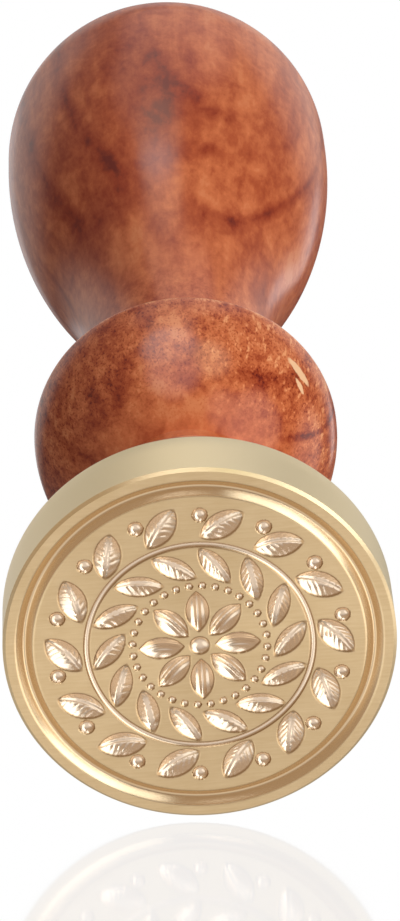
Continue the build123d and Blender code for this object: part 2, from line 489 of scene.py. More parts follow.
for radius, height in disc_outline:
    open_ring = add_ring(head_vertices, head_faces, open_ring, radius, height)
open_ring = add_ring(head_vertices, head_faces, open_ring, *hub_outline[0], share=EDGES_TO_ONE)
for radius, height in hub_outline[1:]:
    open_ring = add_ring(head_vertices, head_faces, open_ring, radius, height)
print("head has", len(head_vertices), "vertices down to the bore's mouth")

# %% [markdown]
# ## Screw threads
#
# The head screws onto the stud with a right-hand M7 thread, 1 mm a turn. A thread
# is a radius that depends on height and angle together: going once round moves the
# same profile up by one pitch. Stud and bore share the formula, so they mesh, and a
# small gap keeps them apart.

# %% Thread profile
THREAD_RADIUS = 3.5
THREAD_ROOT = 2.89
THREAD_PITCH = 1.0
ROOT_SHARE = 0.22
FLANK_SHARE = 0.64


def thread_radii(height, count, crest, root, pitch):
    """Radii round a thread with flat crests and roots and straight flanks."""
    phase = (height / pitch - np.arange(count) / count) % 1.0
    ramp = 2 * np.abs(phase - 0.5)
    return root + (crest - root) * np.clip((ramp - ROOT_SHARE) / FLANK_SHARE, 0, 1)


def machine_thread(height, count):
    """Radii round the M7 thread."""
    return thread_radii(height, count, THREAD_RADIUS, THREAD_ROOT, THREAD_PITCH)


print("thread is", round(np.ptp(machine_thread(0, 96)), 2), "mm deep")

# %% Thread in the bore
THREAD_GAP = 0.05
RINGS_PER_PITCH = 10
BORE_BOTTOM = 5.5
DRILL_HALF_ANGLE = radians(59)
METAL_SHARP_ANGLE = radians(40)

bore_top = HUB_TOP - COUNTERSINK
bore_steps = int((bore_top - BORE_BOTTOM) / THREAD_PITCH * RINGS_PER_PITCH)
for height in np.linspace(bore_top, BORE_BOTTOM, bore_steps + 1)[1:]:
    radii = machine_thread(height, len(open_ring)) + THREAD_GAP
    open_ring = add_ring(head_vertices, head_faces, open_ring, radii, height)
drill_point = len(head_vertices)
head_vertices.append((0, 0, BORE_BOTTOM - BORE_RADIUS / tan(DRILL_HALF_ANGLE)))
head_faces += [(open_ring[i - 1], open_ring[i], drill_point) for i in range(len(open_ring))]

head = add_piece("engraved_head", scaled(head_vertices), head_faces, METAL_SHARP_ANGLE)
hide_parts("stamp_head")
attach(head, "head")

# %% [markdown]
# The brass looks different in a pocket, in the ring groove and on the flat face. Each
# vertex therefore keeps the depth of its cut as an attribute that the finish can read.
# Depths of the groove are stored as negative numbers, which tells it from the design.

# %% Depth of each cut
CUT_LIMIT = 1.0

places = np.array(head_vertices)
from_axis = np.hypot(places[:, 0], places[:, 1])
in_face = (from_axis < FACE_RADIUS - RIM_WIDTH / 2) & (places[:, 2] < CUT_LIMIT)
depths = np.where(in_face, places[:, 2], 0)
depths = np.where(from_axis > groove_inside - GROOVE_LIP, -depths, depths)
cut_depth = head.data.attributes.new("cut_depth", "FLOAT", "POINT")
cut_depth.data.foreach_set("value", depths)
print("cut depths run from", round(depths.min(), 3), "to", round(depths.max(), 3), "mm")

# %% [markdown]
# ## The stud
#
# A hanger bolt: machine thread below, a plain neck, and a coarse wood thread that
# runs out to a point inside the handle. Only its lower end ever shows, when the
# handle is unscrewed. Its rings are stacked by height, like the bore's.

# %% Stud sizes
STUD_END = 7.0
STUD_CHAMFER = 0.6
STUD_SHOULDER = 14.7
NECK_END = 16.2
NECK_STEP = 0.3
NECK_OF_STUD = 2.85
STUD_TOP = 33.0
WOOD_CREST = 3.0
WOOD_ROOT = 2.2
WOOD_PITCH = 2.4
TIP_LENGTH = 3.0
TIP_RADIUS = 1.0


def stud_radii(height, count):
    """Radii round the stud, at one height."""
    if height <= STUD_SHOULDER:
        chamfer = THREAD_RADIUS - STUD_CHAMFER + height - STUD_END
        return np.minimum(machine_thread(height, count), chamfer)
    if height <= NECK_END:
        return NECK_OF_STUD
    thread = thread_radii(height, count, WOOD_CREST, WOOD_ROOT, WOOD_PITCH)
    taper = np.clip((STUD_TOP - height) / TIP_LENGTH, 0, 1)
    return TIP_RADIUS + (thread - TIP_RADIUS) * taper


machine_steps = int((STUD_SHOULDER - STUD_END) / THREAD_PITCH * RINGS_PER_PITCH)
wood_steps = int((STUD_TOP - NECK_END) / WOOD_PITCH * RINGS_PER_PITCH)
stud_heights = list(np.linspace(STUD_END, STUD_SHOULDER, machine_steps + 1))
stud_heights += [STUD_SHOULDER + NECK_STEP, NECK_END]
stud_heights += list(np.linspace(NECK_END + NECK_STEP, STUD_TOP, wood_steps))
print("stud has", len(stud_heights), "rings")

# %% Stud
STUD_SEGMENTS = 96

stud_rings = [(stud_radii(height, STUD_SEGMENTS), height) for height in stud_heights]
stud_outline = [(0, STUD_END), *stud_rings, (0, STUD_TOP)]
stud_vertices, stud_faces = turned(stud_outline, STUD_SEGMENTS)
stud = add_piece("hanger_stud", scaled(stud_vertices), stud_faces, METAL_SHARP_ANGLE)
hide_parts("threaded_stud")
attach(stud, "stud")

# %% [markdown]
# ## Materials
#
# Each finish is a small graph of nodes. A short builder keeps the graphs readable:
# it adds a node, makes its settings, and takes either a plain value or another node's
# output for each input.

# %% Node builder
class NodeGraph:
    """A node tree and a short way to add nodes to it."""

    def __init__(self, tree):
        self.tree = tree

    def add(self, kind, inputs=None, **settings):
        node = self.tree.nodes.new("ShaderNode" + kind)
        for key, value in settings.items():
            setattr(node, key, value)
        self.feed(node, inputs or {})
        return node

    def feed(self, node, inputs):
        for key, value in inputs.items():
            if isinstance(value, bpy.types.NodeSocket):
                self.tree.links.new(value, node.inputs[key])
            else:
                node.inputs[key].default_value = value

    def math(self, operation, *values, clamp=False):
        node = self.add("Math", dict(enumerate(values)), operation=operation, use_clamp=clamp)
        return node.outputs[0]

    def vector(self, operation, *values):
        node = self.add("VectorMath", dict(enumerate(values)), operation=operation)
        return node.outputs["Value" if operation in ("DOT_PRODUCT", "LENGTH") else "Vector"]

    def rise(self, value, start, end, low=0.0, high=1.0, smooth=False):
        """Goes from low to high while the value goes from start to end."""
        inputs = {0: value, 1: start, 2: end, 3: low, 4: high}
        steps = "SMOOTHSTEP" if smooth else "LINEAR"
        return self.add("MapRange", inputs, interpolation_type=steps).outputs[0]

    def blend(self, share, first, second):
        """Mixes two numbers."""
        return self.add("Mix", {0: share, 2: first, 3: second}).outputs[0]

    def mix(self, share, first, second, kind="MIX"):
        """Mixes two colours."""
        inputs = {0: share, 6: first, 7: second}
        return self.add("Mix", inputs, data_type="RGBA", blend_type=kind).outputs[2]

    def show(self, shader, output):
        self.tree.links.new(shader, self.tree.nodes[output].inputs["Surface"])


print("node builder for shaders and for the world")

# %% [markdown]
# A material adds what a surface needs: places in millimetres on the piece itself, so
# that a pattern stays put when the piece moves, noise at such places, and ramps.

# %% Finish builder
MM_IN_METRE = 1000


class Finish(NodeGraph):
    """A new material, its node tree and its main shader."""

    def __init__(self, name):
        self.material = bpy.data.materials.new(name)
        self.material.use_nodes = True
        super().__init__(self.material.node_tree)
        self.surface = self.tree.nodes["Principled BSDF"]

    def ramp(self, factor, *stops):
        """A grey value along stops of (place, grey)."""
        return self.colour_ramp(factor, [(place, (grey, grey, grey)) for place, grey in stops])

    def colour_ramp(self, factor, stops):
        node = self.add("ValToRGB", {0: factor})
        elements = node.color_ramp.elements
        elements.remove(elements[1])
        for place, colour in stops[1:]:
            elements.new(place).color = (*colour, 1)
        elements[0].position = stops[0][0]
        elements[0].color = (*stops[0][1], 1)
        return node.outputs[0]

    def places(self, scale=(1, 1, 1), turn=(0, 0, 0), shift=(0, 0, 0)):
        """Object coordinates in millimetres, turned, shifted and scaled."""
        coordinates = self.add("TexCoord").outputs["Object"]
        scale = [s * MM_IN_METRE for s in scale]
        inputs = {"Vector": coordinates, "Scale": scale, "Rotation": turn, "Location": shift}
        return self.add("Mapping", inputs).outputs[0]

    def noise(self, scale, detail=2.0, roughness=0.5, distortion=0.0, **placing):
        """Clouds of noise, with this many to a millimetre along each axis."""
        inputs = {"Vector": self.places(scale, **placing), "Scale": 1.0, "Detail": detail,
                  "Roughness": roughness, "Distortion": distortion}
        return self.add("TexNoise", inputs).outputs[0]

    def put_on(self, piece):
        piece.data.materials.append(self.material)
        print(self.material.name, "has", len(self.tree.nodes), "nodes")


print("finishes for", [piece.name for piece in (handle, head, stud)])

# %% [markdown]
# ### Rosewood under lacquer
#
# The handle was turned from a plain-sawn board: its growth layers are nearly flat
# sheets that lie along the handle, so the lathe cuts them into long U-shaped lines.
# An image of wood would slide over the surface. Here every point asks how deep in
# the board it lies, and a ramp across the board says how light the wood is there.
# A layer is written as its tone, the depth in millimetres where it ends, the tone of
# the dark line there, and how soft that line is.

# %% Growth layers
BOARD_HALF = 14.0
FRONT_TONE = 0.68
LINE_FALL = 0.7
BACK_LAYERS = [(0.54, -11.6, 0.25, 0.4), (0.6, -8.3, 0.34, 0.5),
               (0.53, -5.1, 0.2, 0.4), (0.57, -1.9, 0.33, 0.5)]
LEFT_LAYERS = BACK_LAYERS + [(0.56, 3.3, 0.14, 1.1), (0.54, 7.35, 0.05, 0.95), (0.48, 12.4, 0.36, 0.5)]
HEART_LAYERS = BACK_LAYERS + [(0.55, 3.3, 0.45, 1.0), (0.57, 9.0, 0.46, 0.9), (0.40, 12.4, 0.3, 0.5)]
RIGHT_LAYERS = BACK_LAYERS + [(0.55, 0.9, 0.3, 0.5), (0.6, 8.35, 0.2, 0.5), (0.62, 10.6, 0.42, 0.5),
                              (0.57, 12.2, 0.42, 0.6)]
BEAD_LAYERS = BACK_LAYERS + [(0.54, 0.6, 0.25, 0.6), (0.54, 6.4, 0.5, 0.5), (0.6, 8.85, 0.33, 0.7)]
BEAD_EDGE_LAYERS = BACK_LAYERS + [(0.58, 6.1, 0.05, 0.3), (0.6, 8.85, 0.33, 0.7)]


def layer_stops(layers):
    """Ramp stops across the board: each layer's tone, then the dark line that ends it."""
    stops = [(0.0, layers[0][0])]
    tones_after = [layer[0] for layer in layers[1:]] + [FRONT_TONE]
    for (tone, depth, line_tone, softness), after in zip(layers, tones_after):
        for shift, value in ((-softness, tone), (0.0, line_tone), (LINE_FALL * softness, after)):
            stops.append(((depth + shift + BOARD_HALF) / (2 * BOARD_HALF), value))
    return stops


print("ramp stops of the right strip:", len(layer_stops(RIGHT_LAYERS)))

# %% [markdown]
# The knob shows three strips of the board side by side, left, heart and right, and
# the collar bead, nearer the end of the blank, shows two of its own. So there are
# five ramps, and soft masks along the board and up the handle blend them. One slow
# noise bends the layers, and another lets them fade into plain wood here and there.

# %% Tone of the board
BOARD_NORMAL = (0.38, -0.92, 0.02)
BOARD_ALONG = (0.92, 0.38, 0.0)
BEND_SCALE = (0.09, 0.09, 0.05)
LAYER_BEND = 1.8
LEFT_TO_HEART = (-7.0, -5.0)
HEART_TO_RIGHT = (-5.0, 1.0)
BEAD_TO_EDGE = (4.0, 6.0)
BEAD_TO_KNOB = (33.0, 40.0)
FADE_NOISE = dict(scale=(0.13, 0.13, 0.06), shift=(5, 3, 1))
FADE_STOPS = ((0.36, 0.6), (0.58, 1.0))
PLAIN_TONE = 0.5

wood = Finish("rosewood_lacquer")
place = wood.places()
sideways, _, height = wood.add("SeparateXYZ", {0: place}).outputs
along_board = wood.vector("DOT_PRODUCT", place, BOARD_ALONG)
bend = wood.math("SUBTRACT", wood.noise(BEND_SCALE), 0.5)
depth = wood.math("MULTIPLY_ADD", bend, LAYER_BEND, wood.vector("DOT_PRODUCT", place, BOARD_NORMAL))
across_board = wood.math("MULTIPLY_ADD", depth, 0.5 / BOARD_HALF, 0.5)


def side_by_side(first, second, border):
    """Two strips, blended where they meet along the board."""
    return wood.blend(wood.rise(along_board, *border, smooth=True), first, second)


left, heart, right, bead, bead_edge = [
    wood.ramp(across_board, *layer_stops(layers))
    for layers in (LEFT_LAYERS, HEART_LAYERS, RIGHT_LAYERS, BEAD_LAYERS, BEAD_EDGE_LAYERS)]
knob = side_by_side(side_by_side(left, heart, LEFT_TO_HEART), right, HEART_TO_RIGHT)
bead = side_by_side(bead, bead_edge, BEAD_TO_EDGE)
strips = wood.blend(wood.rise(height, *BEAD_TO_KNOB), bead, knob)
fade = wood.ramp(wood.noise(**FADE_NOISE), *FADE_STOPS)
tone = wood.blend(fade, PLAIN_TONE, strips)
print("the board takes", len(wood.tree.nodes), "nodes")

# %% [markdown]
# Wood also has lighter and darker patches that no layer explains. Each is an
# ellipsoid in the board: a centre, three radii, and a change of tone. A noise moves
# the places a little before they are measured, which makes the edges ragged. Four
# of them are painted light: the pale patches at (1.5, -7.9, 54.3) on the knob's front
# and at (-0.8, -9.7, 26.4) on the bead are painted highlights, the dark one at
# (4.6, -5.2, 21.5) on the bead's lower right is painted shade that dims a reflection,
# and the dark one at (-1.1, -9.7, 59.8) is partly wood and partly painted shade.

# %% Patches
# Most patches are wood; two are painted highlights and two hold painted shade, as told above.
TONE_AND_LIGHT_PATCHES = [((-1.8, -11.7, 71.5), (2.0, 2.2, 4.5), -0.18), ((1.2, -11.4, 67.5), (2.2, 2.0, 4.0), -0.18),
           ((-0.2, -10.9, 64.0), (2.4, 2.0, 4.0), -0.16), ((-1.1, -9.7, 59.8), (2.5, 2.0, 5.0), -0.15),
           ((-2.0, -8.2, 55.9), (1.7, 1.6, 3.0), -0.22), ((-5.0, -6.9, 56.0), (2.0, 2.0, 4.5), -0.12),
           ((-0.1, -7.2, 50.7), (1.7, 1.6, 2.4), -0.16), ((5.4, -4.0, 48.1), (2.0, 2.0, 4.0), -0.15),
           ((1.5, -7.9, 54.3), (1.5, 1.5, 2.8), 0.22), ((7.0, -8.2, 63.2), (2.2, 2.0, 4.0), 0.12),
           ((8.3, 0.2, 55.3), (2.0, 2.5, 4.0), 0.18), ((-3.5, -6.2, 48.5), (2.2, 2.0, 3.0), 0.22),
           ((4.5, -9.6, 63.1), (2.0, 1.2, 1.0), -0.14), ((1.8, -9.2, 58.8), (2.0, 1.2, 1.0), -0.14),
           ((-5.4, -6.3, 23.2), (2.2, 2.2, 1.6), -0.2), ((-0.2, -6.9, 21.6), (2.0, 1.5, 1.8), 0.18),
           ((-8.5, -2.6, 24.3), (1.8, 2.0, 2.0), 0.18), ((0.6, -7.6, 22.5), (0.9, 1.2, 0.9), -0.18),
           ((5.4, -7.0, 24.2), (1.8, 1.2, 0.8), -0.18), ((2.7, -8.1, 23.8), (1.5, 1.2, 0.9), 0.2),
           ((-2.3, -8.0, 23.3), (1.1, 1.2, 1.2), 0.22), ((4.6, -5.2, 21.5), (2.0, 1.6, 1.5), -0.1),
           ((-0.8, -9.7, 26.4), (1.5, 1.4, 1.8), 0.2), ((3.6, -9.0, 26.4), (1.6, 1.4, 1.2), 0.14),
           ((0.0, -7.0, 21.4), (2.5, 1.4, 1.2), 0.1), ((0.6, -6.0, 44.8), (3.0, 2.0, 3.0), 0.14)]
PATCH_WANDER = 1.8
PATCH_EDGE = (1.4, 0.4)


def ragged(wander, scale, detail):
    """Places on the wood, moved by a noise up to half of this wander either way."""
    noise = wood.add("TexNoise", {"Vector": place, "Scale": scale, "Detail": detail}).outputs["Color"]
    start = wood.vector("SUBTRACT", place, [wander / 2] * 3)
    return wood.vector("MULTIPLY_ADD", noise, [wander] * 3, start)


moved = ragged(PATCH_WANDER, scale=0.5, detail=3.0)
for centre, radii, change in TONE_AND_LIGHT_PATCHES:
    away = wood.vector("DIVIDE", wood.vector("SUBTRACT", moved, centre), radii)
    tone_and_light_patch = wood.rise(wood.vector("LENGTH", away), *PATCH_EDGE, 0.0, change, smooth=True)
    tone = wood.math("ADD", tone, tone_and_light_patch)
print("patches:", len(TONE_AND_LIGHT_PATCHES))

# %% [markdown]
# Two small chips in the lacquer show pale wood on the bead. They are long ellipses,
# each with a centre, a direction and half of its length and width, and they are as
# ragged as the patches, on a smaller scale.

# %% Chips
CHIPS = [((7.9, -5.85, 26.85), (0.521, 0.825, -0.217), 1.15, 0.42),
         ((7.9, -5.3, 25.75), (0.337, 0.842, -0.421), 0.6, 0.24)]
CHIP_WANDER = 0.3
CHIP_EDGE = (1.3, 0.7)

moved = ragged(CHIP_WANDER, scale=2.4, detail=2.0)
chipped = 0.0
for centre, lengthways, half_length, half_width in CHIPS:
    away = wood.vector("SUBTRACT", moved, centre)
    run = wood.vector("DOT_PRODUCT", away, lengthways)
    run_square = wood.math("MULTIPLY", run, run)
    side_square = wood.math("SUBTRACT", wood.vector("DOT_PRODUCT", away, away), run_square)
    ends = wood.math("DIVIDE", run_square, half_length ** 2)
    sides = wood.math("DIVIDE", side_square, half_width ** 2)
    spot = wood.rise(wood.math("ADD", sides, ends), *CHIP_EDGE, smooth=True)
    chipped = wood.math("MAXIMUM", chipped, spot)
print("chips:", len(CHIPS))

# %% [markdown]
# Fine grain lies over all this: long streaks, blotches, clumps and flecks, of which
# the last two are stronger on the bead. Each row gives a noise, the value of it that
# leaves the tone alone, and its weight on the knob and on the bead. The foot is a
# little lighter, and a smooth minimum keeps the palest spots from turning white.

# %% Grain
KNOB_TO_BEAD = (46.0, 33.0)
FOOT_TO_BEAD = (20.0, 24.5)
FOOT_LIGHTER = 0.14
GRAIN = [(dict(scale=(0.7, 0.7, 0.06), detail=4.0, roughness=0.6), 0.5, 0.75, 0.75),
         (dict(scale=(0.62, 0.62, 0.34), detail=4.0, roughness=0.62, distortion=0.35), 0.49, 0.9, 0.9),
         (dict(scale=(1.3, 1.3, 0.9), turn=(0.3, 0, 0.2), detail=3.0, roughness=0.65), 0.5, 0.35, 1.1),
         (dict(scale=(2.6, 2.6, 1.3), turn=(0.4, 0, 0.3), detail=3.0, roughness=0.7), 0.49, 0.3, 1.0)]
PALEST_TONE = 0.84
PALEST_SOFTNESS = 0.3

above_foot = wood.rise(height, *FOOT_TO_BEAD)
on_bead = wood.math("MULTIPLY", wood.rise(height, *KNOB_TO_BEAD), above_foot)
tone = wood.math("MULTIPLY_ADD", wood.math("SUBTRACT", 1.0, above_foot), FOOT_LIGHTER, tone)
for noise, middle, knob_weight, bead_weight in GRAIN:
    grain = wood.math("SUBTRACT", wood.noise(**noise), middle)
    weight = wood.rise(on_bead, 0.0, 1.0, knob_weight, bead_weight)
    tone = wood.math("MULTIPLY_ADD", grain, weight, tone)
tone = wood.math("SMOOTH_MIN", tone, PALEST_TONE, PALEST_SOFTNESS)
print("kinds of grain:", len(GRAIN))

# %% [markdown]
# Three marks belong to the bead alone: pale slanting strokes on its right side, dark
# specks where pores were cut open, and a pale line along its upper edge, a painted
# highlight where the crisp edge catches the light.

# %% Marks on the bead
STROKE_START = (0.0, 4.0)
STROKES = (dict(scale=(3.2, 3.2, 0.55), turn=(0.5, 0.35, 0)), ((0.56, 0.0), (0.72, 1.0)), 0.36)
SPECKS = (dict(scale=(6.5, 6.5, 4.0), turn=(0.2, 0.3, 0)), ((0.54, 0.0), (0.66, 1.0)), -0.32)
HIGHLIT_BELOW = (29.8, 30.4)
HIGHLIT_ABOVE = (31.3, 31.0)
HIGHLIT_LIGHTER = 0.25

on_right = wood.math("MULTIPLY", on_bead, wood.rise(sideways, *STROKE_START))
for share, (noise, stops, change) in ((on_right, STROKES), (on_bead, SPECKS)):
    marks = wood.ramp(wood.noise(**noise), *stops)
    tone = wood.math("MULTIPLY_ADD", marks, wood.math("MULTIPLY", share, change), tone)
# The pale line along the bead's upper edge is a painted highlight, where the crisp edge catches the
# light.
highlit = wood.math("MULTIPLY", wood.rise(height, *HIGHLIT_BELOW), wood.rise(height, *HIGHLIT_ABOVE))
tone = wood.math("MULTIPLY_ADD", highlit, HIGHLIT_LIGHTER, tone)
print("worn edge from", HIGHLIT_BELOW[0], "to", HIGHLIT_ABOVE[0], "mm")

# %% [markdown]
# The tone picks a colour from dark red-brown to pale orange, the chips are laid over
# it, and fine pores dent the surface. The lacquer is the shader's own coat, a smooth
# clear layer that reflects the room; the painted highlights and painted shade in the
# tone come from the patches and the bead's edge line above.

# %% Rosewood
WOOD_COLOURS = [(0.0, (0.130, 0.012, 0.006)), (0.25, (0.28, 0.037, 0.010)), (0.5, (0.42, 0.084, 0.026)),
                (0.75, (0.59, 0.155, 0.054)), (1.0, (0.78, 0.32, 0.14))]
CHIP_COLOUR = (0.88, 0.54, 0.31, 1)
PORE_SCALE = (4.5, 4.5, 0.9)
PORE_DEPTH = 0.1 * MM

colour = wood.mix(chipped, wood.colour_ramp(tone, WOOD_COLOURS), CHIP_COLOUR)
pores = {"Strength": 0.05, "Distance": PORE_DEPTH, "Height": wood.noise(PORE_SCALE)}
wood.feed(wood.surface, {"Base Color": colour, "Normal": wood.add("Bump", pores).outputs[0],
                         "Roughness": 0.5, "Specular IOR Level": 0.1, "Coat Weight": 0.5,
                         "Coat Roughness": 0.15, "Coat IOR": 1.5})
wood.put_on(handle)

# %% [markdown]
# ### Brass
#
# The head is satin brass, and its stored cut depths tell the finish where it is. The
# pockets are smoother, because the tool left polished walls, and they are painted
# paler, a painted highlight that whitens their glints. A thin dark outline just
# inside their edge is painted shade. The side wall is painted paler than the face,
# which is painted light, and the groove darker, which is painted shade.

# %% Where the brass is cut
CUT_GAIN = 12.0
PAINTED_SHADE_STOPS = ((0.0, 0.0), (0.03, 1.0), (0.07, 1.0), (0.15, 0.0))

brass = Finish("satin_brass")
depth = brass.add("Attribute", attribute_name="cut_depth").outputs["Fac"]
in_design = brass.math("MULTIPLY", depth, CUT_GAIN, clamp=True)
in_groove = brass.math("MULTIPLY", depth, -CUT_GAIN, clamp=True)
in_cut = brass.math("ADD", in_design, in_groove)
# The outline is painted shade: a thin dark line just inside each pocket's edge.
outline = brass.ramp(depth, *PAINTED_SHADE_STOPS)
facing = brass.add("SeparateXYZ", {0: brass.add("TexCoord").outputs["Normal"]}).outputs[2]
flat = brass.math("ABSOLUTE", facing)
upright = brass.math("SUBTRACT", 1.0, flat, clamp=True)
on_wall = brass.math("MULTIPLY", upright, brass.math("SUBTRACT", 1.0, in_cut))
print("outline lies", PAINTED_SHADE_STOPS[1][0], "to", PAINTED_SHADE_STOPS[2][0], "mm below the face")

# %% [markdown]
# The flat brass is not one colour: slow clouds of tarnish and fine brushing across
# the face lighten and darken it between two shades.

# %% Colours of the brass
DULL_BRASS = (0.65, 0.485, 0.262, 1)
FRESH_BRASS = (0.81, 0.645, 0.393, 1)
# The side wall's paler tint is painted light: it makes the wall lighter than the face.
WALL_LIGHT_BRASS = (0.89, 0.745, 0.495, 1)
# The groove's darker tint is painted shade in its recess.
GROOVE_SHADE_BRASS = (0.73, 0.565, 0.36, 1)
# The pockets' paler tint is a painted highlight that whitens their glints.
POCKET_HIGHLIGHT_BRASS = (0.86, 0.72, 0.56, 1)
# The outline's dark brown is painted shade.
PAINTED_SHADE_BRASS = (0.42, 0.27, 0.13, 1)
PAINTED_SHADE_STRENGTH = 0.9

cloud = brass.noise((0.3, 0.3, 0.3), detail=4.0, roughness=0.6)
brush = brass.noise((0.4, 6.0, 0.4), detail=3.0, roughness=0.65)
tarnish = brass.math("ADD", cloud, brass.math("SUBTRACT", brush, 0.5))
colour = brass.mix(tarnish, DULL_BRASS, FRESH_BRASS)
painted_shade_share = brass.math("MULTIPLY", outline, PAINTED_SHADE_STRENGTH)
# Over the flat brass go the side wall's paler tint, painted light, the groove's darker tint, painted
# shade, the pockets' paler tint, a painted highlight, and the dark outline, painted shade.
for share, tint in ((on_wall, WALL_LIGHT_BRASS), (in_groove, GROOVE_SHADE_BRASS),
                    (in_design, POCKET_HIGHLIGHT_BRASS), (painted_shade_share, PAINTED_SHADE_BRASS)):
    colour = brass.mix(share, colour, tint)
print("flat brass lies between", DULL_BRASS[:3], "and", FRESH_BRASS[:3])

# %% [markdown]
# Turning leaves fine marks round the axis, which stretch reflections. The shader's
# anisotropy does that, along a tangent that runs across the marks on the face and
# round the axis on the wall. A slight bump and a gritty roughness break the sheen up.

# %% Brass
FIELD_ROUGHNESS = 0.28
GRIT_ROUGHER = 0.12
WALL_ROUGHER = 0.1
CUT_ROUGHER = -0.12
GRIT_IN_MARKS = 0.7
MARK_DEPTH = 0.03 * MM
FACE_LIMIT = 0.5

lathe = brass.noise((0.15, 0.15, 30.0), detail=3.0, roughness=0.7)
grit = brass.noise((9.0, 9.0, 9.0), detail=3.0, roughness=0.6)
rough = FIELD_ROUGHNESS
for share, change in ((grit, GRIT_ROUGHER), (on_wall, WALL_ROUGHER), (in_cut, CUT_ROUGHER)):
    rough = brass.math("MULTIPLY_ADD", share, change, rough)
marks = {"Strength": 0.12, "Distance": MARK_DEPTH,
         "Height": brass.math("MULTIPLY_ADD", grit, GRIT_IN_MARKS, lathe)}
round_axis = brass.add("Tangent", direction_type="RADIAL", axis="Z").outputs[0]
across_marks = brass.vector("CROSS_PRODUCT", brass.add("NewGeometry").outputs["Normal"], round_axis)
on_face = brass.math("GREATER_THAN", flat, FACE_LIMIT)
tangents = {0: on_face, 4: round_axis, 5: across_marks}
brass.feed(brass.surface, {"Base Color": colour, "Roughness": rough, "Metallic": 1.0,
                           "Normal": brass.add("Bump", marks).outputs[0], "Anisotropic": 0.6,
                           "Tangent": brass.add("Mix", tangents, data_type="VECTOR").outputs[1]})
brass.put_on(head)

# %% [markdown]
# ### Zinc-plated steel
#
# The stud is bright but not polished: a grey metal whose shade and roughness follow
# the same slight mottle.

# %% Steel
ZINC_DARK = (0.52, 0.53, 0.54, 1)
ZINC_LIGHT = (0.66, 0.66, 0.65, 1)
ZINC_ROUGHNESS = 0.22
MOTTLE_ROUGHER = 0.18

steel = Finish("zinc_steel")
mottle = steel.noise((1.2, 1.2, 1.2), detail=3.0)
rough = steel.math("MULTIPLY_ADD", mottle, MOTTLE_ROUGHER, ZINC_ROUGHNESS)
colour = steel.mix(mottle, ZINC_DARK, ZINC_LIGHT)
steel.feed(steel.surface, {"Base Color": colour, "Roughness": rough, "Metallic": 1.0})
steel.put_on(stud)

# %% [markdown]
# ## Stage and light
#
# The stamp stands on its face, and the photograph looks up at that face, so the
# floor can only be seen from above: its underside is clear. It doesn't show in
# reflections and casts no shadow, and far away it fades to the white of the room.

# %% Floor
FLOOR_HALF = 2.0
SHADOW_REACH = 0.25
FLOOR_FADE = 1.2
WHITE = (1, 1, 1, 1)

pale = Finish("pale_floor")
pale.feed(pale.surface, {"Base Color": (0.86, 0.86, 0.86, 1), "Roughness": 0.8,
                         "Emission Color": WHITE, "Emission Strength": 0.5})
away = pale.vector("LENGTH", pale.add("TexCoord").outputs["Object"])
far = pale.rise(away, SHADOW_REACH, FLOOR_FADE, smooth=True)
white = pale.add("Emission", {"Color": WHITE, "Strength": 1.0}).outputs[0]
top = pale.add("MixShader", {0: far, 1: pale.surface.outputs[0], 2: white}).outputs[0]
clear = pale.add("BsdfTransparent").outputs[0]
under = pale.add("NewGeometry").outputs["Backfacing"]
pale.show(pale.add("MixShader", {0: under, 1: top, 2: clear}).outputs[0], "Material Output")


def stage_sheet(name, corners, finish):
    """A flat sheet that only the camera sees."""
    sheet = add_piece(name, [tuple(corner) for corner in corners], [(0, 1, 2, 3)])
    finish.put_on(sheet)
    for rays in ("visible_diffuse", "visible_glossy", "visible_transmission", "visible_shadow"):
        setattr(sheet, rays, False)
    return sheet


signs = ((-1, -1), (1, -1), (1, 1), (-1, 1))
floor_plane = stage_sheet("floor", [(x * FLOOR_HALF, y * FLOOR_HALF, 0) for x, y in signs], pale)

# %% [markdown]
# In the photograph a polished sheet under the rim gives a faint mirror image of the
# face. A clear plane with a little gloss does that: it meets the rim's lowest edge in
# the picture, lies level with the line of sight and reaches towards the camera. Its
# gloss shows only at a grazing look, so that other views see through it.

# %% Polished sheet
SHEET_GLOSS = 0.2
SHEET_ROUGHNESS = 0.04
GRAZING_LOOK = (0.8, 0.9)
SHEET_HALF_WIDTH = 40 * MM
SHEET_LENGTH = 78 * MM
SHEET_GAP = 0.2 * MM

polish = Finish("polished_sheet")
clear = polish.add("BsdfTransparent").outputs[0]
gloss = polish.add("BsdfGlossy", {"Color": WHITE, "Roughness": SHEET_ROUGHNESS}).outputs[0]
look = polish.add("LayerWeight", {"Blend": 0.5}).outputs["Facing"]
grazing = polish.rise(look, *GRAZING_LOOK, 0.0, SHEET_GLOSS)
above = polish.math("SUBTRACT", 1.0, polish.add("NewGeometry").outputs["Backfacing"])
amount = polish.math("MULTIPLY", grazing, above)
polish.show(polish.add("MixShader", {0: amount, 1: clear, 2: gloss}).outputs[0], "Material Output")

rim_low = Vector((0, FACE_RADIUS * MM + SHEET_GAP, 0))
sheet_side = picture_right * SHEET_HALF_WIDTH
sheet_near = rim_low - sight * SHEET_LENGTH
sheet_corners = [rim_low - sheet_side, sheet_near - sheet_side,
                 sheet_near + sheet_side, rim_low + sheet_side]
polished_sheet = stage_sheet("polished_sheet", sheet_corners, polish)

# %% [markdown]
# The room behind the stamp is white to the camera. In glossy surfaces the same room
# shows as it would round a real set: pale in front of the face, where the table
# bounces light up, and dimmer behind, so that lacquer keeps its colour. An image of a
# studio would do this too. Here the room's brightness by direction is a few soft
# lobes: an axis in picture terms (right, up, towards the camera), the cosines where
# the lobe starts and where it is full, and its colour.

